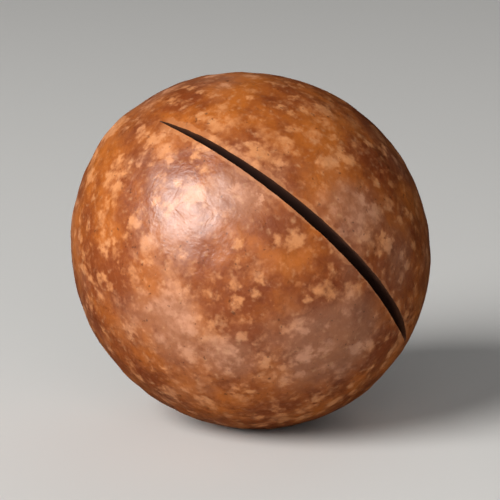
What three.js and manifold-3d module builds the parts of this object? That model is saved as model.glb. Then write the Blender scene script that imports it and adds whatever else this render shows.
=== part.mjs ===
// A macadamia nut in its shell: a nearly round, woody seed with one saw kerf, lying on a small flat spot.
// Millimetres, +Z up. The origin is on the flat spot, straight below the middle of the nut.

import * as THREE from 'three';
import { mergeVertices, toCreasedNormals } from 'three/addons/utils/BufferGeometryUtils.js';
import Module from 'manifold-3d';

// The shell in its own frame: Z runs from the stem scar up to the germ pore, X goes across the kerf, and
// the kerf opens to -Y. The narrowing is the share of its girth that the shell loses by the pore.
const HALF_LENGTH = 12.7;
const HALF_DEPTH = 12.5;
const HALF_WIDTH = 12.2;
const NARROWING = 0.01;
const SKIN_DETAIL = 18;

// Three faint shoulders that keep the shell from being a true ball
const SHOULDERS = 3;
const SHOULDER_HEIGHT = 0.1;
const SHOULDER_TURN = 0.8;

// The shallow dish where the stalk held the seed, and the low nipple at the other pole
const SCAR_RADIUS = 2.7;
const SCAR_DEPTH = 0.25;
const PORE_RADIUS = 1.6;
const PORE_HEIGHT = 0.14;

// The kerf: a disc saw with a thinned rim goes in to its full depth, and the nut rolls on it to both sides.
// Each step of the kerf's arcs is longer than the rim's taper, so the tapered outline never folds.
const KERF_WIDTH = 0.72;
const KERF_DEPTH = 3.3;
const KERF_OFFSET = 1.0;
const SAW_RADIUS = 45;
const SAW_RIM_WIDTH = 0.26;
const SAW_RIM_TAPER = 1.0;
const SAW_ROLL = THREE.MathUtils.degToRad(25);
const SAW_RUN_OUT = THREE.MathUtils.degToRad(12);
const ARC_STEPS = 8;

// How the nut lies: spun about its own length, rolled over to its side, and tipped a little to the front
const SPIN = THREE.MathUtils.degToRad(26);
const ROLL = THREE.MathUtils.degToRad(-47.5);
const TIP = THREE.MathUtils.degToRad(2.5);
const MIDDLE_HEIGHT = 12.3;

const CREASE_ANGLE = THREE.MathUtils.degToRad(30);

const wasm = await Module();
wasm.setup();

function solidFrom(geometry) {
  const bare = geometry.clone();
  bare.deleteAttribute('normal');
  bare.deleteAttribute('uv');
  const merged = mergeVertices(bare);
  const mesh = new wasm.Mesh({
    numProp: 3,
    vertProperties: new Float32Array(merged.attributes.position.array),
    triVerts: new Uint32Array(merged.index.array),
  });
  return new wasm.Manifold(mesh);
}

function geometryFrom(solid) {
  const mesh = solid.getMesh();
  const geometry = new THREE.BufferGeometry();
  geometry.setAttribute('position', new THREE.BufferAttribute(mesh.vertProperties, 3));
  geometry.setIndex(new THREE.BufferAttribute(mesh.triVerts, 1));
  return toCreasedNormals(geometry, CREASE_ANGLE);
}

// How far the skin stands out from the plain egg shape along a unit direction
function relief(direction) {
  const aroundPole = Math.atan2(direction.y, direction.x);
  const fromPore = Math.acos(THREE.MathUtils.clamp(direction.z, -1, 1));
  const toPore = HALF_LENGTH * fromPore / PORE_RADIUS;
  const toScar = HALF_LENGTH * (Math.PI - fromPore) / SCAR_RADIUS;
  const shoulders = Math.sin(SHOULDERS * aroundPole + SHOULDER_TURN) * (1 - direction.z ** 2);
  return SHOULDER_HEIGHT * shoulders
    + PORE_HEIGHT * Math.exp(-(toPore ** 2))
    - SCAR_DEPTH * Math.exp(-(toScar ** 4));
}

function shellGeometry() {
  const geometry = new THREE.IcosahedronGeometry(1, SKIN_DETAIL);
  const position = geometry.attributes.position;
  const direction = new THREE.Vector3();
  const point = new THREE.Vector3();
  for (let i = 0; i < position.count; i += 1) {
    direction.fromBufferAttribute(position, i).normalize();
    const girth = 1 - NARROWING * direction.z;
    point.set(HALF_WIDTH * girth, HALF_DEPTH * girth, HALF_LENGTH).multiply(direction);
    point.addScaledVector(direction, relief(direction));
    position.setXYZ(i, point.x, point.y, point.z);
  }
  return geometry;
}

function arc(x, y, radius, from, to) {
  return new THREE.EllipseCurve(x, y, radius, radius, from, to, to < from).getPoints(ARC_STEPS);
}

// The space the saw sweeps, as a slice in the kerf's plane, with the nut's middle at 0, 0 and the saw at +x
function kerfGeometry() {
  const floorRadius = HALF_DEPTH - KERF_DEPTH;
  const sawX = (floorRadius + SAW_RADIUS) * Math.cos(SAW_ROLL);
  const sawY = (floorRadius + SAW_RADIUS) * Math.sin(SAW_ROLL);
  const lowerEnd = Math.PI - SAW_ROLL;
  const upperEnd = Math.PI + SAW_ROLL;
  const rim = [
    ...arc(sawX, -sawY, SAW_RADIUS, lowerEnd + SAW_RUN_OUT, lowerEnd),
    ...arc(0, 0, floorRadius, -SAW_ROLL, SAW_ROLL).slice(1),
    ...arc(sawX, sawY, SAW_RADIUS, upperEnd, upperEnd - SAW_RUN_OUT).slice(1),
  ];
  const sawMiddles = [new THREE.Vector2(sawX, sawY), new THREE.Vector2(sawX, -sawY)];

  const geometry = new THREE.ExtrudeGeometry(new THREE.Shape([...rim, ...sawMiddles]), {
    depth: SAW_RIM_WIDTH,
    bevelThickness: (KERF_WIDTH - SAW_RIM_WIDTH) / 2,
    bevelSize: SAW_RIM_TAPER,
    bevelOffset: -SAW_RIM_TAPER,
    bevelSegments: 1,
  });
  const outOfNut = new THREE.Vector3(0, -1, 0);
  const alongNut = new THREE.Vector3(0, 0, 1);
  const acrossKerf = new THREE.Vector3(-1, 0, 0);
  const place = new THREE.Matrix4().makeBasis(outOfNut, alongNut, acrossKerf);
  place.setPosition(KERF_OFFSET + SAW_RIM_WIDTH / 2, 0, 0);
  return geometry.applyMatrix4(place);
}

// Everything below the surface the nut lies on
function groundGeometry() {
  const size = 4 * HALF_LENGTH;
  return new THREE.BoxGeometry(size, size, size).translate(0, 0, -size / 2);
}

const lying = new THREE.Matrix4().makeRotationFromEuler(new THREE.Euler(TIP, ROLL, SPIN, 'XYZ'));
lying.setPosition(0, 0, MIDDLE_HEIGHT);

const nutSolid = solidFrom(shellGeometry().applyMatrix4(lying))
  .subtract(solidFrom(kerfGeometry().applyMatrix4(lying)))
  .subtract(solidFrom(groundGeometry()));

const shellMaterial = new THREE.MeshStandardMaterial({ color: 0xa16642, roughness: 0.42, metalness: 0 });
const nut = new THREE.Mesh(geometryFrom(nutSolid), shellMaterial);
nut.name = 'macadamia_nut';

const part = new THREE.Group();
part.add(nut);

export default part;
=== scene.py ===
# %% [markdown]
# # A macadamia nut in its shell
#
# A macadamia nut is a hard, nearly round seed, about 25 mm across. This one has a narrow saw kerf, so
# that a key can prise it open. The lesson shapes the seed as a carver would: a ball first, then its two
# poles, then the uneven skin, then the saw cut, and last the small flat spot that it lies on. After that
# come the finish, the light and the camera.
#
# The CAD solid is loaded first. It fixes the size and the place of the nut, and it is hidden at the end,
# when the modelled shell stands in for it.

# %% Load the frame
import math

import bmesh
import bpy
from mathutils import Euler, Matrix, Vector


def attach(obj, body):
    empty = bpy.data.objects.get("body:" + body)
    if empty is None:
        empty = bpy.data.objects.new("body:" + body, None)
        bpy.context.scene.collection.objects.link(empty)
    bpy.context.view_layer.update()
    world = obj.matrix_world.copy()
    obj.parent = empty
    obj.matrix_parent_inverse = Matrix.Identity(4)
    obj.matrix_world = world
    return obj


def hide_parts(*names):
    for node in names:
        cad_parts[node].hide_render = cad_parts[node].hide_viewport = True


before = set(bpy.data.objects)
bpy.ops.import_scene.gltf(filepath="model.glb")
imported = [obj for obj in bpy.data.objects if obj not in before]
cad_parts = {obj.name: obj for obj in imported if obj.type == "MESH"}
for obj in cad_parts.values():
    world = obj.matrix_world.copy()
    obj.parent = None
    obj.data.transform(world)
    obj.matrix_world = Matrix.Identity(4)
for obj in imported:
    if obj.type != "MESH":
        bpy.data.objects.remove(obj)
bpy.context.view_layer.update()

MM = 0.001
bpy.ops.object.select_all(action="DESELECT")

# %% [markdown]
# ## How the nut lies
#
# It is easier to shape a seed that stands upright. In its own frame, Z runs from the scar where the stalk
# held it up to the germ pore, X goes across the kerf, and the kerf opens to -Y. The nut is laid down only
# when it is finished, with the same three turns that the CAD solid has. The patterns of the skin follow
# that frame too, so its matrix is kept.

# %% The nut's own frame
TIP, ROLL, SPIN = math.radians(2.5), math.radians(-47.5), math.radians(26)
LIE = Euler((TIP, ROLL, SPIN), "ZYX")
MIDDLE_HEIGHT = 12.3 * MM

lying = Matrix.Translation((0, 0, MIDDLE_HEIGHT)) @ LIE.to_matrix().to_4x4()
print("the germ pore points to", [round(x, 2) for x in lying.to_3x3() @ Vector((0, 0, 1))])

# %% [markdown]
# ## The seed
#
# A ball of equal triangles suits a natural round thing better than a globe of rings, because it has no
# crowded poles. It is stretched by a few per cent to the nut's three half sizes, and a Simple Deform
# taper makes it a trace slimmer at the pore end. Its girth starts a little small, because the shoulders
# are pulled out later.

# %% A ball, stretched and tapered
HALF_WIDTH, HALF_DEPTH, HALF_LENGTH = 12.2 * MM, 12.5 * MM, 12.7 * MM
SKIN_STEPS = 7
SHOULDER_SHARE = 0.008
END_TAPER = -0.02


def apply_all(piece):
    """Applies a piece's modifiers, the first one first."""
    bpy.ops.object.mode_set(mode="OBJECT")
    bpy.context.view_layer.objects.active = piece
    for name in [m.name for m in piece.modifiers]:
        bpy.ops.object.modifier_apply(modifier=name)


bpy.ops.mesh.primitive_ico_sphere_add(subdivisions=SKIN_STEPS, radius=HALF_DEPTH)
nut = bpy.context.object
nut.name = nut.data.name = "nut_shell"
bpy.ops.object.mode_set(mode="EDIT")
slim = 1 - SHOULDER_SHARE
bpy.ops.transform.resize(value=(slim * HALF_WIDTH / HALF_DEPTH, slim, HALF_LENGTH / HALF_DEPTH))
bpy.ops.object.mode_set(mode="OBJECT")
bpy.ops.object.modifier_add(type="SIMPLE_DEFORM")
taper = nut.modifiers[-1]
taper.deform_method, taper.deform_axis, taper.factor = "TAPER", "Z", END_TAPER
apply_all(nut)
print("seed:", [round(x / MM, 2) for x in nut.dimensions], "mm,", len(nut.data.polygons), "triangles")

# %% [markdown]
# ## Shoulders and poles
#
# No nut is a true ball. Three faint shoulders stand round its middle, the stalk has left a shallow dish
# at one pole, and the germ pore is a low nipple with a pinhole at the other. Proportional editing makes
# all of them: a few vertices are pulled, and their neighbours follow less and less. The mesh is made
# finer at both poles first, because the marks there are smaller than the rest of the skin.

# %% Pull the shoulders, press the scar, raise the pore
SHOULDER_TURNS = [math.radians(a) for a in (14.7, 134.7, 254.7)]
SHOULDER_GRIP, SHOULDER_PULL, SHOULDER_REACH = 0.3 * MM, 0.2 * MM, 13 * MM
SCAR_POLE, PORE_POLE = Vector((0, 0, -HALF_LENGTH)), Vector((0, 0, HALF_LENGTH))
FINER_AT = ((SCAR_POLE, 4.2 * MM), (PORE_POLE, 2.2 * MM))
POLE_PULLS = (
    ("scar dish", SCAR_POLE, 1.6 * MM, 0.25 * MM, 2.2 * MM),
    ("pore nipple", PORE_POLE, 0.3 * MM, 0.16 * MM, 2.8 * MM),
    ("pinhole", PORE_POLE, 0.24 * MM, -0.22 * MM, 0.35 * MM),
)


def select_near(piece, place, reach):
    """In edit mode, selects just the vertices within reach of a place, and says how many there are."""
    bpy.ops.mesh.select_all(action="DESELECT")
    skin = bmesh.from_edit_mesh(piece.data)
    for v in skin.verts:
        v.select = (v.co - place).length < reach
    skin.select_flush(True)
    bmesh.update_edit_mesh(piece.data)
    return sum(v.select for v in skin.verts)


def pull(piece, place, grip, move, reach):
    """Moves the vertices within grip of a place, and drags the skin within reach along."""
    held = select_near(piece, place, grip)
    bpy.ops.transform.translate(
        value=move, use_proportional_edit=True, proportional_edit_falloff="SMOOTH", proportional_size=reach)
    return held


bpy.ops.object.mode_set(mode="EDIT")
for place, reach in FINER_AT:
    select_near(nut, place, reach)
    bpy.ops.mesh.subdivide(number_cuts=1)
for turn in SHOULDER_TURNS:
    out = Vector((math.cos(turn), math.sin(turn), 0))
    side = Vector((out.x * HALF_WIDTH, out.y * HALF_DEPTH, 0))
    pull(nut, side, SHOULDER_GRIP, out * SHOULDER_PULL, SHOULDER_REACH)
for name, place, grip, lift, reach in POLE_PULLS:
    print(name, "moves", pull(nut, place, grip, (0, 0, lift), reach), "vertices")
bpy.ops.object.mode_set(mode="OBJECT")
print("length now", round(nut.dimensions.z / MM, 2), "mm")

# %% [markdown]
# ## The uneven skin
#
# Seen against the light, the skin is not smooth: wide, hardly visible dents, then small hammered dimples,
# then a fine pebble. Each is a Displace modifier with its own cloud texture. They are real geometry, so
# the highlight breaks up and the outline is a little uneven, as on the real nut. The scar alone gets a
# rougher one, which a vertex group holds in place.

# %% Dents, dimples, pebble and the rough scar
SKIN_RELIEF = (
    ("dents", 6.5 * MM, 0.16 * MM),
    ("dimples", 2.0 * MM, 0.19 * MM),
    ("pebble", 0.7 * MM, 0.03 * MM),
)
SCAR_REACH, SCAR_GRAIN_SIZE, SCAR_GRAIN_HEIGHT = 2.4 * MM, 0.45 * MM, 0.16 * MM
NOISE_MIDDLE = 0.5


def displace(piece, name, size, height, group=""):
    """Adds a Displace modifier with a cloud texture of that size."""
    clouds = bpy.data.textures.new(name, "CLOUDS")
    clouds.noise_scale, clouds.noise_depth, clouds.noise_basis = size, 1, "IMPROVED_PERLIN"
    bpy.context.view_layer.objects.active = piece
    bpy.ops.object.modifier_add(type="DISPLACE")
    relief = piece.modifiers[-1]
    relief.texture, relief.texture_coords = clouds, "LOCAL"
    relief.strength, relief.mid_level, relief.vertex_group = height, NOISE_MIDDLE, group


bpy.ops.object.mode_set(mode="EDIT")
scar_count = select_near(nut, SCAR_POLE, SCAR_REACH)
bpy.ops.object.vertex_group_add()
nut.vertex_groups.active.name = "scar"
bpy.ops.object.vertex_group_assign()
bpy.ops.object.mode_set(mode="OBJECT")
for name, size, height in SKIN_RELIEF:
    displace(nut, name, size, height)
displace(nut, "scar_grain", SCAR_GRAIN_SIZE, SCAR_GRAIN_HEIGHT, group="scar")
apply_all(nut)
print("skin:", len(SKIN_RELIEF), "layers of relief, rough scar on", scar_count, "vertices")

# %% [markdown]
# ## The saw kerf
#
# A disc saw with a thinned rim goes into the shell, and the nut rolls on it to both sides. So the floor
# of the kerf is an arc about the nut's middle, and it runs out at each end on the circle of the saw
# itself. The cutter is made the same way: the section of the saw's rim is drawn once, as a plane with its
# lower edge drawn in, and then spun about the nut's middle and about the two places of the saw's middle.
# Towards the pore the dry shell has closed a little on the cut, so a taper pinches that end of the
# cutter. A trace of displacement keeps its walls from being perfect. Its faces are split into triangles,
# because a Boolean leaves a clean rim only where the faces are flat.
#
# The Boolean takes the cutter out of the nut. The cutter's own material is carried over to the walls, so
# the sawn wood can have a finish of its own.

# %% Draw the section of the saw's rim
KERF_WIDTH, KERF_OFFSET, FLOOR_RADIUS = 0.8 * MM, 1.0 * MM, 9.2 * MM
SAW_RADIUS, RIM_WIDTH, RIM_TAPER, CUTTER_TOP = 45 * MM, 0.2 * MM, 2.2 * MM, 14.4 * MM
SAW_ROLL, SAW_RUN_OUT = math.radians(25), math.radians(12)
SECTION_CUTS = 2
EDGE_GRIP = 0.6 * KERF_WIDTH


def out_at(angle):
    """The direction out of the nut in the kerf's plane, at an angle from -Y towards the pore."""
    return Vector((0, -math.cos(angle), math.sin(angle)))


bpy.ops.object.select_all(action="DESELECT")
start = out_at(-SAW_ROLL)
shoulder_radius = FLOOR_RADIUS + RIM_TAPER
bpy.ops.mesh.primitive_plane_add(
    size=KERF_WIDTH,
    location=start * (shoulder_radius + KERF_WIDTH / 2),
    rotation=(math.pi + SAW_ROLL, 0, 0),
)
cutter = bpy.context.object
cutter.name = "kerf_cutter"
bpy.ops.object.transform_apply(location=True, rotation=True, scale=True)
bpy.ops.object.mode_set(mode="EDIT")
top_edge = shoulder_radius + KERF_WIDTH
select_near(cutter, start * top_edge, EDGE_GRIP)
bpy.ops.transform.translate(value=start * (CUTTER_TOP - top_edge))
select_near(cutter, start * shoulder_radius, EDGE_GRIP)
bpy.ops.mesh.extrude_region_move(TRANSFORM_OT_translate={"value": -start * RIM_TAPER})
bpy.ops.transform.resize(
    value=(RIM_WIDTH / KERF_WIDTH, 1, 1), center_override=start * FLOOR_RADIUS)
select_near(cutter, start * shoulder_radius, EDGE_GRIP)
bpy.ops.mesh.dissolve_edges(use_verts=False)
bpy.ops.mesh.select_all(action="SELECT")
bpy.ops.mesh.delete(type="ONLY_FACE")
bpy.ops.mesh.select_all(action="SELECT")
bpy.ops.mesh.subdivide(number_cuts=SECTION_CUTS)
bpy.ops.object.mode_set(mode="OBJECT")
print("section:", len(cutter.data.vertices), "points,", len(cutter.data.edges), "edges")

# %% Spin it along the kerf
ARC_STEPS, RUN_OUT_STEPS = 120, 72
SECTION_SLACK = 0.01 * MM


def select_section(angle):
    """Selects the loop of the cutter that lies at an angle, and nothing else."""
    bpy.ops.mesh.select_all(action="DESELECT")
    side = out_at(angle + math.pi / 2)
    walls = bmesh.from_edit_mesh(cutter.data)
    for v in walls.verts:
        v.select = abs(v.co.dot(side)) < SECTION_SLACK
    walls.select_flush(True)
    bmesh.update_edit_mesh(cutter.data)


bpy.ops.object.mode_set(mode="EDIT")
bpy.ops.mesh.select_all(action="SELECT")
bpy.ops.mesh.spin(steps=ARC_STEPS, angle=2 * SAW_ROLL, center=(0, 0, 0), axis=(1, 0, 0))
for end, turn in ((SAW_ROLL, -1), (-SAW_ROLL, 1)):
    select_section(end)
    saw_middle = out_at(end) * (FLOOR_RADIUS + SAW_RADIUS)
    bpy.ops.mesh.spin(steps=RUN_OUT_STEPS, angle=SAW_RUN_OUT, center=saw_middle, axis=(turn, 0, 0))
bpy.ops.mesh.select_all(action="SELECT")
bpy.ops.mesh.fill_holes(sides=0)
bpy.ops.mesh.normals_make_consistent(inside=False)
bpy.ops.mesh.quads_convert_to_tris()
bpy.ops.object.mode_set(mode="OBJECT")
angles = [math.degrees(math.atan2(v.co.z, -v.co.y)) for v in cutter.data.vertices]
print("cutter reaches from", round(min(angles), 1), "to", round(max(angles), 1), "degrees,",
      len(cutter.data.polygons), "faces")

# %% Take the kerf out of the nut
KERF_PINCH, PINCHED_PART = -0.62, (0.5, 1.0)
CHATTER_SIZE, CHATTER_HEIGHT = 0.8 * MM, 0.09 * MM

shell_finish = bpy.data.materials.new("mottled_shell")
sawn_finish = bpy.data.materials.new("sawn_shell")
nut.data.materials.append(shell_finish)
cutter.data.materials.append(sawn_finish)
bpy.context.view_layer.objects.active = cutter
bpy.ops.object.modifier_add(type="SIMPLE_DEFORM")
pinch = cutter.modifiers[-1]
pinch.deform_method, pinch.deform_axis, pinch.lock_y = "TAPER", "Z", True
pinch.factor, pinch.limits = KERF_PINCH, PINCHED_PART
displace(cutter, "saw_chatter", CHATTER_SIZE, CHATTER_HEIGHT)
apply_all(cutter)
bpy.ops.object.mode_set(mode="EDIT")
bpy.ops.mesh.select_all(action="SELECT")
bpy.ops.transform.translate(value=(KERF_OFFSET, 0, 0))
bpy.ops.object.mode_set(mode="OBJECT")
bpy.context.view_layer.objects.active = nut
bpy.ops.object.modifier_add(type="BOOLEAN")
saw_cut = nut.modifiers[-1]
saw_cut.operation, saw_cut.solver, saw_cut.material_mode = "DIFFERENCE", "EXACT", "TRANSFER"
saw_cut.object = cutter
apply_all(nut)
bpy.data.objects.remove(cutter)
sawn = sum(p.material_index == 1 for p in nut.data.polygons)
print("the nut has", len(nut.data.polygons), "faces,", sawn, "of them sawn; finishes:",
      [m.name for m in nut.data.materials])

# %% [markdown]
# ## Laid down on its flat spot
#
# The nut is turned and lifted as the CAD solid is, and the turn is applied, so that the object itself
# stays at the origin. A bisect at floor height then takes off the sliver below, and fills the small flat
# spot.

# %% Lay it down and trim the flat spot
SMOOTH_ANGLE = math.radians(38)
TRIM_SLACK, MERGE_WITHIN = 0.0005 * MM, 0.003 * MM

bpy.ops.object.select_all(action="DESELECT")
nut.select_set(True)
bpy.context.view_layer.objects.active = nut
nut.rotation_mode = "ZYX"
nut.rotation_euler = LIE
nut.location = (0, 0, MIDDLE_HEIGHT)
bpy.ops.object.transform_apply(location=True, rotation=True, scale=True)
nut.rotation_mode = "XYZ"
bpy.ops.object.mode_set(mode="EDIT")
bpy.ops.mesh.select_all(action="SELECT")
bpy.ops.mesh.bisect(
    plane_co=(0, 0, 0), plane_no=(0, 0, 1), use_fill=True, clear_inner=True, threshold=TRIM_SLACK)
bpy.ops.mesh.select_all(action="SELECT")
bpy.ops.mesh.remove_doubles(threshold=MERGE_WITHIN)
bpy.ops.mesh.normals_make_consistent(inside=False)
bpy.ops.object.mode_set(mode="OBJECT")
bpy.ops.object.shade_smooth_by_angle(angle=SMOOTH_ANGLE)

check = bmesh.new()
check.from_mesh(nut.data)
open_edges = sum(len(e.link_faces) != 2 for e in check.edges)
volume = check.calc_volume(signed=True)
check.free()
triangles = sum(len(p.vertices) - 2 for p in nut.data.polygons)
print("shell:", triangles, "triangles,", open_edges, "open edges,", round(volume / MM**3), "mm3")

# %% [markdown]
# ## A small kit for the finishes
#
# Both finishes are built from nodes. Writing every node out in full would hide the idea, so a few helpers
# are made first: one adds a node and wires it, and the others are the steps that come back again and
# again, which are a cloud of a given size in millimetres, a soft threshold, a blend of two colours and
# plain arithmetic.

# %% Node helpers
tree = None


def node(kind, wires=None, **options):
    """Adds a shader node. A wire is another node's output, or a plain value for the input."""
    made = tree.nodes.new("ShaderNode" + kind)
    for name, value in options.items():
        setattr(made, name, value)
    for name, value in (wires or {}).items():
        if isinstance(value, bpy.types.NodeSocket):
            tree.links.new(value, made.inputs[name])
        else:
            made.inputs[name].default_value = value
    return made


def cloud(place, size, seed, detail=3.0, rough=0.55, twist=0.0):
    """Smooth noise from 0 to 1 with blotches of about that size, in millimetres."""
    wires = {"Vector": place, "W": seed, "Scale": 1 / size, "Detail": detail, "Roughness": rough,
             "Distortion": twist}
    return node("TexNoise", wires, noise_dimensions="4D").outputs[0]


def rise(value, low, high, start=0.0, end=1.0):
    """A soft step: start below low, end above high."""
    wires = {0: value, 1: low, 2: high, 3: start, 4: end}
    return node("MapRange", wires, interpolation_type="SMOOTHSTEP").outputs[0]


def sums(kind, a, b=0.0):
    """One step of arithmetic."""
    return node("Math", {0: a, 1: b}, operation=kind).outputs[0]


def hypotenuse(a, b):
    """How far off a place is that lies a one way and b square to it."""
    return sums("SQRT", sums("ADD", sums("MULTIPLY", a, a), sums("MULTIPLY", b, b)))


def wobble(place, size, seed, swing):
    """Smooth noise that swings about 0, with bumps of about that size, in millimetres."""
    return sums("MULTIPLY", sums("SUBTRACT", cloud(place, size, seed), NOISE_MIDDLE), swing)


def tint(amount, under, over):
    """Lays one colour over another by an amount from 0 to 1."""
    return node("Mix", {0: amount, 6: under, 7: over}, data_type="RGBA").outputs[2]


def paint(red, green, blue):
    """A colour as seen on a screen, from 0 to 255, made linear."""
    def linear(c):
        c = c / 255
        return c / 12.92 if c <= 0.04045 else ((c + 0.055) / 1.055) ** 2.4
    return (linear(red), linear(green), linear(blue), 1.0)


def begin(finish):
    """Starts a finish: returns its shader, and the place in the nut's own frame, in millimetres."""
    global tree
    finish.use_nodes = True
    tree = finish.node_tree
    shader = tree.nodes["Principled BSDF"]
    wires = {"Vector": node("TexCoord").outputs["Object"], "Location": (0, 0, MIDDLE_HEIGHT),
             "Rotation": lying.to_euler("XYZ"), "Scale": (MM, MM, MM)}
    return shader, node("Mapping", wires, vector_type="TEXTURE").outputs[0]


print("helpers ready; the skin's patterns turn by",
      [round(math.degrees(a), 1) for a in lying.to_euler("XYZ")], "degrees")

# %% [markdown]
# ## The shell's colour
#
# The skin is orange brown, and wanders to a darker, redder brown. Dusty, pinkish patches a few
# millimetres wide lie over it, then small dark mottles, then the flecks: pale dabs with torn edges,
# golden on bare skin and pinkish on dust. Grains and pinpricks come last. Each layer is a cloud or a
# scatter of dabs with a soft threshold, which looks grown, where a repeating pattern would look printed.
# A step names the two values of a cloud between which a layer comes in, and a coat is how thick it is at
# most, from 0 to 1.
#
# Chance alone would put the patches anywhere. So a few places say where this nut is dusty, bare, red or
# strongly flecked. Each is given in millimetres right and up of the nut's middle, as it is seen from the
# front, with a reach. Round each place the cloud is pushed up or down, so the patch still has a grown
# edge. Not all of them are the skin's own colour: three red places along the left edge are painted shade,
# one more darkens the skin under the highlight to tone it down, and two wide fleck places, right of the
# middle and above the kerf, are painted light.

# %% Places on the skin
DUSTY_AT = (
    (7, 2.5, 3.8), (10, -0.5, 3.2), (5.5, -6, 5.6), (-5.2, -4.8, 4.6), (-1.5, -7, 2.6), (-0.8, 3.8, 2.6),
)
BARE_AT = (
    (1, -1.5, 3.6), (4.5, -2.5, 2.6), (-10, 0, 4.2), (1.5, 10, 4.4), (-8, -8, 3.6), (-0.5, -10.5, 3.2),
    (-10.2, -4.8, 2.8), (5.6, 9.2, 3.2),
)
# Red places. The last three, along the left edge, are painted shade; the one at (-4.8, 2.6) darkens the
# skin under the highlight to tone it down.
RED_AND_SHADE_AT = (
    (2.5, 1, 2.6), (11.3, 1, 2.2), (8.5, 6.5, 2.8), (6, -9.5, 2.2), (-1.5, -9, 1.9), (-11, -4, 2.4),
    (-4.8, 2.6, 3), (-7.2, 7.6, 4), (-6.6, -9.2, 3), (-10.4, -5.4, 3),
)
# Fleck places. The two wide ones, at (7.2, 1.4) and (1.4, 6.2), are painted light: they lighten the skin
# there.
FLECKS_AND_LIGHT_AT = (
    (-1, 8.5, 1.3), (2, 7.5, 0.9), (5, 8.8, 1), (6.2, 6.3, 1.2), (4.6, 3.5, 1.1),
    (0.6, -1.3, 1.2), (4.2, -2.7, 1.1), (-5.3, -2.3, 1.3), (-10, 2, 1), (-8.2, 5.6, 1.2),
    (-7, -7.7, 1), (-5.6, -8.6, 0.9), (-3.4, -9.3, 1), (1.6, -10, 0.8), (-0.5, 3.8, 1.5),
    (-4.6, -4.6, 3.4), (-2.2, -6.4, 2), (-5.2, -0.8, 2), (-7.2, 0, 1.3),
    (-2.2, 7.2, 1.4), (0.4, 6.4, 1.2), (7.2, 1.4, 3), (1.4, 6.2, 2.4),
)
VIEW_ELEVATION = math.radians(12)
SKIN_RADIUS = HALF_DEPTH / MM


def on_skin(right, up):
    """The place in the nut's own frame that is seen so many millimetres right and up of its middle."""
    front = math.sqrt(SKIN_RADIUS**2 - right**2 - up**2)
    seen = Matrix.Rotation(-VIEW_ELEVATION, 3, "X") @ Vector((right, -front, up))
    return lying.to_3x3().transposed() @ seen


def lean(value, place, spots, push):
    """Pushes a cloud up or down round a few places, each with its own reach in millimetres."""
    for right, up, reach in spots:
        wires = {0: place, 1: on_skin(right, up)}
        away = node("VectorMath", wires, operation="DISTANCE").outputs["Value"]
        value = sums("ADD", value, rise(away, reach, 0.0, 0.0, push))
    return value


print("the first fleck lies at", [round(v, 1) for v in on_skin(*FLECKS_AND_LIGHT_AT[0][:2])], "mm in the nut's frame")

# %% Dabs with torn and frayed edges
FRAY = 1.2
DAB_EDGE, DAB_CHANCE = (0.62, 0.1), (-0.4, 0.8)


def ruffled(place, size, amount):
    """Moves places about by a cloud, so that what is drawn on them gets a torn edge."""
    noise = node("TexNoise", {"Vector": place, "Scale": 1 / size, "Detail": 3.0}).outputs["Color"]
    drift = node("VectorMath", {0: noise, 1: [NOISE_MIDDLE] * 3}, operation="SUBTRACT").outputs[0]
    wires = {0: drift, 1: [amount] * 3, 2: place}
    return node("VectorMath", wires, operation="MULTIPLY_ADD").outputs[0]


def dabs(place, size, seed):
    """Soft round dabs, scattered in cells of about that size, some strong and some faint."""
    cells = node("TexVoronoi", {"Vector": place, "W": seed, "Scale": 1 / size}, voronoi_dimensions="4D")
    chance = node("SeparateColor", {0: cells.outputs["Color"]}).outputs[0]
    return sums("MULTIPLY", rise(cells.outputs["Distance"], *DAB_EDGE), rise(chance, *DAB_CHANCE))


def frayed(value, place, size, seed):
    """Adds a little fine grain to a value, so that its edge frays, and keeps it from 0 to 1."""
    return rise(sums("ADD", value, wobble(place, size, seed, FRAY)), 0.0, 1.0)


def wash(under, over, where, amount):
    """Lays a thin coat of one colour over another, where a mask from 0 to 1 says so."""
    return tint(sums("MULTIPLY", where, amount), under, over)


print("dabs ready; their edges fray by", FRAY)

# %% Skin, dust and mottles
SKIN_ORANGE, SKIN_BROWN = paint(168, 90, 30), paint(128, 60, 22)
DUST, MOTTLE_AND_SHADE = paint(151, 96, 66), paint(106, 43, 15)
SKIN_SIZE, SKIN_STEP = 4.6, (0.4, 0.6)
DUST_SIZE, DUST_STEP, DUST_COAT = 6.0, (0.42, 0.76), 0.8
MOTTLE_SIZE, MOTTLE_AND_SHADE_STEP, MOTTLE_AND_SHADE_COAT = 2.8, (0.5, 0.76), 0.7
SHADE_SIZE, SHADE_STEP, SHADE_COAT = 1.3, (0.48, 0.24), 0.6
PATCH_PUSH, RED_AND_SHADE_PUSH = 0.27, 0.16

shader, place = begin(shell_finish)
blotches = cloud(place, SKIN_SIZE, seed=1.0, detail=6, rough=0.62)
colour = tint(rise(blotches, *SKIN_STEP), SKIN_BROWN, SKIN_ORANGE)
dusty = lean(cloud(place, DUST_SIZE, seed=2.0, detail=6, rough=0.6), place, DUSTY_AT, PATCH_PUSH)
dusty = rise(lean(dusty, place, BARE_AT, -PATCH_PUSH), *DUST_STEP)
colour = wash(colour, DUST, dusty, DUST_COAT)
# Besides real red mottles, this layer lays painted shade along the left edge, from the red places.
mottles_and_shade = lean(cloud(place, MOTTLE_SIZE, seed=3.0, detail=5, rough=0.6), place, RED_AND_SHADE_AT, RED_AND_SHADE_PUSH)
colour = wash(colour, MOTTLE_AND_SHADE, rise(mottles_and_shade, *MOTTLE_AND_SHADE_STEP), MOTTLE_AND_SHADE_COAT)
shaded = cloud(place, SHADE_SIZE, seed=5.5, detail=5, rough=0.6)
colour = wash(colour, MOTTLE_AND_SHADE, rise(shaded, *SHADE_STEP), SHADE_COAT)
print("skin, dust and mottles:", len(tree.nodes), "nodes")

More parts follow.
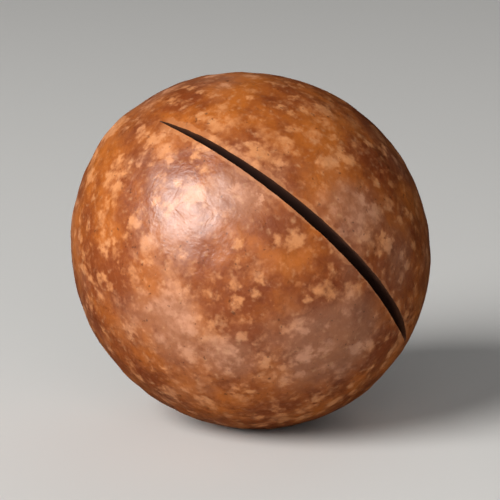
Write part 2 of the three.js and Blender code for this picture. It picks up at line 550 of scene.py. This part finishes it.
# %% Flecks, grains and pinpricks
FLECK_GOLD, FLECK_DUSTY = paint(204, 134, 82), paint(196, 137, 104)
GRAIN_PALE, HOLE_DARK = paint(208, 156, 112), paint(54, 25, 12)
FLECK_SIZE, FLECK_TEAR, FLECK_FRAY, FLECK_AND_LIGHT_COAT = 1.8, (0.6, 1.9), 0.45, 0.85
SPECK_SIZE, SPECK_TEAR, SPECK_FRAY, SPECK_COATS = 1.0, (0.4, 0.9), 0.35, (0.85, 0.65)
GRAIN_SIZE, GRAIN_STEP, GRAIN_COAT = 0.45, (0.54, 0.8), 0.35
PRICK_SIZE, PRICK_STEP, PRICK_COAT = 0.33, (0.68, 0.75), 0.5
FLECK_AND_LIGHT_PUSH = 0.45

fleck = tint(dusty, FLECK_GOLD, FLECK_DUSTY)
torn = ruffled(place, *FLECK_TEAR)
# Besides real flecks, this mask holds the painted light of the two wide fleck places.
flecks_and_light = lean(dabs(torn, FLECK_SIZE, seed=4.3), torn, FLECKS_AND_LIGHT_AT, FLECK_AND_LIGHT_PUSH)
flecked_and_lit = frayed(flecks_and_light, place, FLECK_FRAY, seed=4.0)
colour = wash(colour, fleck, flecked_and_lit, FLECK_AND_LIGHT_COAT)
specks = dabs(ruffled(place, *SPECK_TEAR), SPECK_SIZE, seed=4.7)
fainter_on_dust = rise(dusty, 0.0, 1.0, *SPECK_COATS)
colour = wash(colour, fleck, frayed(specks, place, SPECK_FRAY, seed=4.9), fainter_on_dust)
grains = cloud(place, GRAIN_SIZE, seed=5.0, detail=2)
colour = wash(colour, GRAIN_PALE, rise(grains, *GRAIN_STEP), GRAIN_COAT)
pinpricks = cloud(place, PRICK_SIZE, seed=6.0, detail=1)
colour = wash(colour, HOLE_DARK, rise(pinpricks, *PRICK_STEP), PRICK_COAT)
print("flecks, grains and pinpricks:", len(tree.nodes), "nodes")

# %% [markdown]
# ## Scar, pore, seam and lips
#
# The stalk's scar is a pale, ragged patch with a dark heart, and the germ pore is a small pale ring round
# its pinhole. A faint seam joins them on the side away from the kerf. Along the kerf, the saw has bared a
# thin line of paler wood. All four are drawn from distances in the nut's own frame, with a little noise,
# so they stay where the geometry has them. An edge is two distances in millimetres, where the mark starts
# and where it is full.

# %% Scar and germ pore
SCAR_PALE = paint(208, 142, 94)
POLE_EDGE, SCAR_EDGE, HEART_EDGE = (8.0, 9.0), (3.1, 2.3), (1.1, 0.5)
PORE_EDGE, PINHOLE_EDGE = (1.5, 1.0), (0.4, 0.2)
RAGGED_SIZE, RAGGED_BY = 1.3, 3.4
PATCHY_SIZE, PATCHY_STEP, PATCHY_COATS = 0.7, (0.32, 0.66), (0.35, 0.95)
HEART_COAT, PORE_COAT = 0.7, 0.6

x, y, z = node("SeparateXYZ", {0: place}).outputs
from_axis = hypotenuse(x, y)
ragged_from_axis = sums("ADD", from_axis, wobble(place, RAGGED_SIZE, seed=7.0, swing=RAGGED_BY))
at_scar = rise(sums("MULTIPLY", z, -1.0), *POLE_EDGE)
at_pore = rise(z, *POLE_EDGE)
in_scar = sums("MULTIPLY", rise(ragged_from_axis, *SCAR_EDGE), at_scar)
patchy = rise(cloud(place, PATCHY_SIZE, seed=7.5, detail=4), *PATCHY_STEP, *PATCHY_COATS)
colour = wash(colour, SCAR_PALE, in_scar, patchy)
scar_heart = sums("MULTIPLY", rise(ragged_from_axis, *HEART_EDGE), at_scar)
colour = wash(colour, MOTTLE_AND_SHADE, scar_heart, HEART_COAT)
in_pore = sums("MULTIPLY", rise(ragged_from_axis, *PORE_EDGE), at_pore)
colour = wash(colour, SCAR_PALE, in_pore, PORE_COAT)
# The pinhole is painted dark: painted shade in the hole.
in_pinhole = sums("MULTIPLY", rise(from_axis, *PINHOLE_EDGE), at_pore)
colour = tint(in_pinhole, colour, HOLE_DARK)
print("poles drawn:", len(tree.nodes), "nodes")

# %% The seam on the far side
SEAM_DARK, SEAM_COAT = paint(84, 40, 18), 0.45
SEAM_SIDE_EDGE, SEAM_EDGE = (1.5, 4.0), (0.3, 0.08)
WANDER_SIZE, WANDER_BY = 4.0, 1.6

off_seam = sums("ABSOLUTE", sums("ADD", x, wobble(place, WANDER_SIZE, seed=8.0, swing=WANDER_BY)))
on_seam = sums("MULTIPLY", rise(off_seam, *SEAM_EDGE), rise(y, *SEAM_SIDE_EDGE))
colour = wash(colour, SEAM_DARK, on_seam, SEAM_COAT)
print("seam drawn:", len(tree.nodes), "nodes")

# %% Pale lips along the kerf
LIP_PALE, LIP_COAT = paint(206, 140, 92), 0.3
LIP_SIZE, LIP_STEP, LIP_REACHES, LIP_SOFTNESS = 1.1, (0.35, 0.7), (0.45, 0.8), 0.12
LIP_END_ANGLES = (1.10, 1.04)  # radians from the middle of the kerf

kerf_angle = sums("ABSOLUTE", sums("ARCTAN2", z, sums("MULTIPLY", y, -1.0)))
across_kerf = sums("ABSOLUTE", sums("SUBTRACT", x, KERF_OFFSET / MM))
lip_reach = rise(cloud(place, LIP_SIZE, seed=9.0), *LIP_STEP, *LIP_REACHES)
on_lip = rise(sums("SUBTRACT", across_kerf, lip_reach), 0.0, -LIP_SOFTNESS)
on_lip = sums("MULTIPLY", on_lip, rise(kerf_angle, *LIP_END_ANGLES))
colour = wash(colour, LIP_PALE, on_lip, LIP_COAT)
tree.links.new(colour, shader.inputs["Base Color"])
print("lips drawn:", len(tree.nodes), "nodes")

# %% [markdown]
# ## The shell's gloss and grain
#
# The skin is satin, as if lightly waxed. Dust and flecks are duller than the rest, and so are the scar
# and the pinhole. Grain finer than the mesh is left to a bump: soft pebbles under half a millimetre, and
# faint creases that break up the edge of the highlight.

# %% Roughness and bump
GLOSS, SPECULAR = 0.36, 0.78
CREASE_SIZE, CREASE_TWIST, CREASE_WIDTH, CREASE_DEPTH = 1.8, 0.6, 0.1, 0.018
PEBBLE_SIZE, PEBBLE_HEIGHT, BUMP_STRENGTH = 0.36, 0.035, 0.5

roughness = GLOSS
for dull_place, duller_by in ((dusty, 0.06), (flecked_and_lit, 0.05), (in_scar, 0.25), (in_pinhole, 0.6)):
    roughness = sums("ADD", roughness, sums("MULTIPLY", dull_place, duller_by))
tree.links.new(roughness, shader.inputs["Roughness"])
shader.inputs["Specular IOR Level"].default_value = SPECULAR

folds = cloud(place, CREASE_SIZE, seed=10.0, rough=0.6, twist=CREASE_TWIST)
out_of_crease = rise(sums("ABSOLUTE", sums("SUBTRACT", folds, NOISE_MIDDLE)), 0.0, CREASE_WIDTH)
pebbles = sums("MULTIPLY", cloud(place, PEBBLE_SIZE, seed=11.0, detail=2), PEBBLE_HEIGHT)
height = sums("ADD", pebbles, sums("MULTIPLY", out_of_crease, CREASE_DEPTH))
bump = node("Bump", {"Height": height, "Strength": BUMP_STRENGTH, "Distance": MM})
tree.links.new(bump.outputs[0], shader.inputs["Normal"])
print("shell finish:", len(tree.nodes), "nodes")

# %% [markdown]
# ## The sawn walls
#
# Inside the kerf the wood is cut across, and the saw has left it dark and dull. Fine scratches follow the
# saw's path. Deep in the kerf the walls are darker still, which is painted shade, and they turn paler
# towards the lip, partly as painted light where the light reaches and partly as a worn edge.

# %% Dark sawn wood
SAWN_SHADED_DEEP, SAWN_EDGE, SAWN_ROUGHNESS = paint(60, 31, 18), paint(98, 56, 33), 0.7
LIT_AND_WORN_EDGE, LIT_AND_WORN_SIZE, LIT_AND_WORN_BY = (11.7, 12.6), 0.8, 0.5
SCRATCH_SIZE, SCRATCH_STEP, SCRATCH_COATS = 0.12, (0.5, 0.7), (0.0, 0.35)
SCRATCH_STRENGTH, SCRATCH_DEPTH = 0.3, 0.05 * MM

shader, place = begin(sawn_finish)
x, y, z = node("SeparateXYZ", {0: place}).outputs
from_middle = hypotenuse(y, z)
along_saw = node("CombineXYZ", {0: from_middle, 1: x}).outputs[0]
scratch = cloud(along_saw, SCRATCH_SIZE, seed=1.0, detail=2)
lit_and_worn = sums("ADD", from_middle, wobble(place, LIT_AND_WORN_SIZE, seed=2.0, swing=LIT_AND_WORN_BY))
# Painted shade: the wall is darker deep in the kerf, and paler towards the lip, partly as painted light.
colour = tint(rise(lit_and_worn, *LIT_AND_WORN_EDGE), SAWN_SHADED_DEEP, SAWN_EDGE)
colour = tint(rise(scratch, *SCRATCH_STEP, *SCRATCH_COATS), colour, HOLE_DARK)
tree.links.new(colour, shader.inputs["Base Color"])
shader.inputs["Roughness"].default_value = SAWN_ROUGHNESS
bump = node("Bump", {"Height": scratch, "Strength": SCRATCH_STRENGTH, "Distance": SCRATCH_DEPTH})
tree.links.new(bump.outputs[0], shader.inputs["Normal"])
print("sawn finish:", len(tree.nodes), "nodes")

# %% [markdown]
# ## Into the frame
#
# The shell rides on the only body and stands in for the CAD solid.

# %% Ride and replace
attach(nut, "root")
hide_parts("macadamia_nut")

# %% [markdown]
# ## The floor
#
# A plain pale floor, wide enough to fill the view from every side. It only carries the nut and its soft
# shadow. It is kept out of the nut's gloss, where a pale floor would lie as a grey haze over the lower
# half.

# %% Floor
FLOOR_SIZE, FLOOR_PALE, FLOOR_ROUGHNESS = 4.0, paint(206, 204, 200), 0.85

bpy.ops.object.select_all(action="DESELECT")
bpy.ops.mesh.primitive_plane_add(size=FLOOR_SIZE)
floor = bpy.context.object
floor.name = "floor"
floor_finish = bpy.data.materials.new("pale_floor")
floor_finish.use_nodes = True
floor_shader = floor_finish.node_tree.nodes["Principled BSDF"]
floor_shader.inputs["Base Color"].default_value = FLOOR_PALE
floor_shader.inputs["Roughness"].default_value = FLOOR_ROUGHNESS
floor.data.materials.append(floor_finish)
floor.visible_glossy = False
print("floor:", FLOOR_SIZE, "m wide")

# %% [markdown]
# ## The light
#
# One soft lamp stands high on the left and in front, and makes the single highlight. A wide one in front
# and a weak one behind keep the other sides readable, and a dim world fills the shadows. These three are
# kept out of the gloss too, so the skin stays deep in colour right up to its outline.

# %% Lamps and world
NUT_MIDDLE = Vector((0, 0, MIDDLE_HEIGHT))
ROOM_TINT, ROOM_STRENGTH = (0.95, 0.97, 1.0, 1.0), 0.13
# Name, direction from the nut, distance and width in metres, power in watts
LAMPS = (
    ("key_lamp", (-0.62, -0.59, 0.52), 0.60, 0.38, 5.3),
    ("front_lamp", (0.05, -0.95, 0.28), 0.90, 0.80, 2.8),
    ("back_lamp", (0.30, 0.80, 0.60), 0.90, 0.80, 1.0),
)

for name, direction, distance, size, power in LAMPS:
    towards = Vector(direction).normalized()
    bpy.ops.object.light_add(type="AREA", location=NUT_MIDDLE + towards * distance)
    lamp = bpy.context.object
    lamp.name = name
    lamp.rotation_euler = towards.to_track_quat("Z", "Y").to_euler()
    lamp.data.shape, lamp.data.size, lamp.data.energy = "DISK", size, power
    lamp.visible_glossy = name == "key_lamp"
world = bpy.data.worlds.new("dim_room")
bpy.context.scene.world = world
world.use_nodes = True
background = world.node_tree.nodes["Background"]
background.inputs["Color"].default_value = ROOM_TINT
background.inputs["Strength"].default_value = ROOM_STRENGTH
world.cycles_visibility.glossy = False
bpy.context.scene.view_settings.view_transform = "Standard"
print("lamps:", [name for name, *_ in LAMPS])

# %% [markdown]
# ## The camera
#
# The photograph looks a little down on the nut, from so far away that there is hardly any perspective. A
# long lens gives the same look.

# %% Camera
LENS, SENSOR = 200, 36
NUT_SHARE = 0.72
NEAREST, FARTHEST = 0.01, 10

view_width = 2 * HALF_DEPTH / NUT_SHARE
view_distance = view_width * LENS / SENSOR
towards = Vector((0, -math.cos(VIEW_ELEVATION), math.sin(VIEW_ELEVATION)))
bpy.ops.object.camera_add(location=NUT_MIDDLE + towards * view_distance)
camera = bpy.context.object
camera.name = "camera"
camera.rotation_euler = towards.to_track_quat("Z", "Y").to_euler()
camera.data.lens, camera.data.sensor_width = LENS, SENSOR
camera.data.clip_start, camera.data.clip_end = NEAREST, FARTHEST
bpy.context.scene.camera = camera
print("camera", round(view_distance / MM), "mm away,", "nut fills", NUT_SHARE, "of the view")
